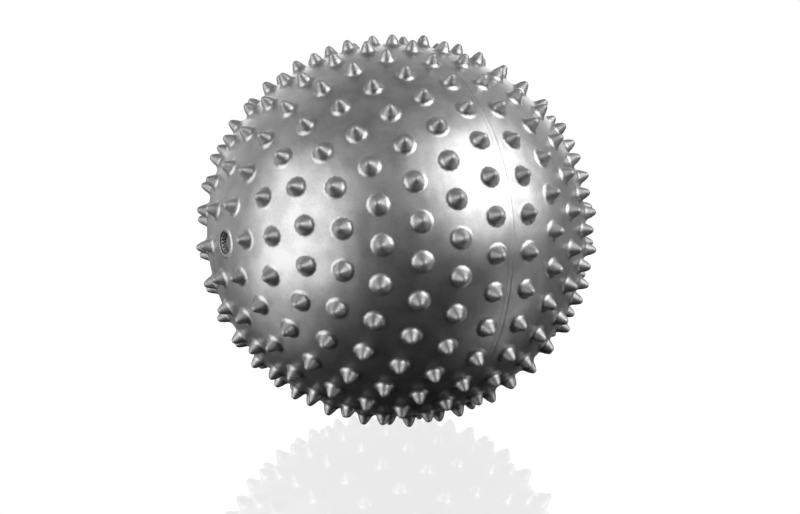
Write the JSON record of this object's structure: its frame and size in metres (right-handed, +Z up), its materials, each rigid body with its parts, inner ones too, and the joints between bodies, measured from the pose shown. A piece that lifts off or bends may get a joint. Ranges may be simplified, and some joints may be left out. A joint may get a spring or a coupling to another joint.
{
  "type": "sensory ball",
  "caption": "Inflatable silver-grey soft vinyl sensory ball with rows of moulded cone nubs, a fine parting line and a push-in air valve plug.",
  "frame": {"origin": "centre of the ball's round body", "axes": "+Z up as the ball rests on four nubs beside the parting line, -Y out through the middle of the air valve, +X to the right of the valve; the parting line lies in the XZ plane"},
  "size_m": [0.1772, 0.1763, 0.1764],
  "materials": {
    "pearl_vinyl": "rotational-cast pearl silver soft vinyl, satin",
    "valve_vinyl": "moulded silver-grey soft vinyl, satin",
    "plug_vinyl": "moulded silver-grey vinyl, matt"
  },
  "bodies": {
    "ball": {"ball_skin": "pearl_vinyl", "valve_sleeve": "valve_vinyl"},
    "plug": {"valve_plug": "plug_vinyl"}
  },
  "joints": [
    {"name": "plug_pull", "type": "slide", "parent": "ball", "child": "plug", "axis": [0, -1, 0], "range_m": [0, 0.018]}
  ]
}
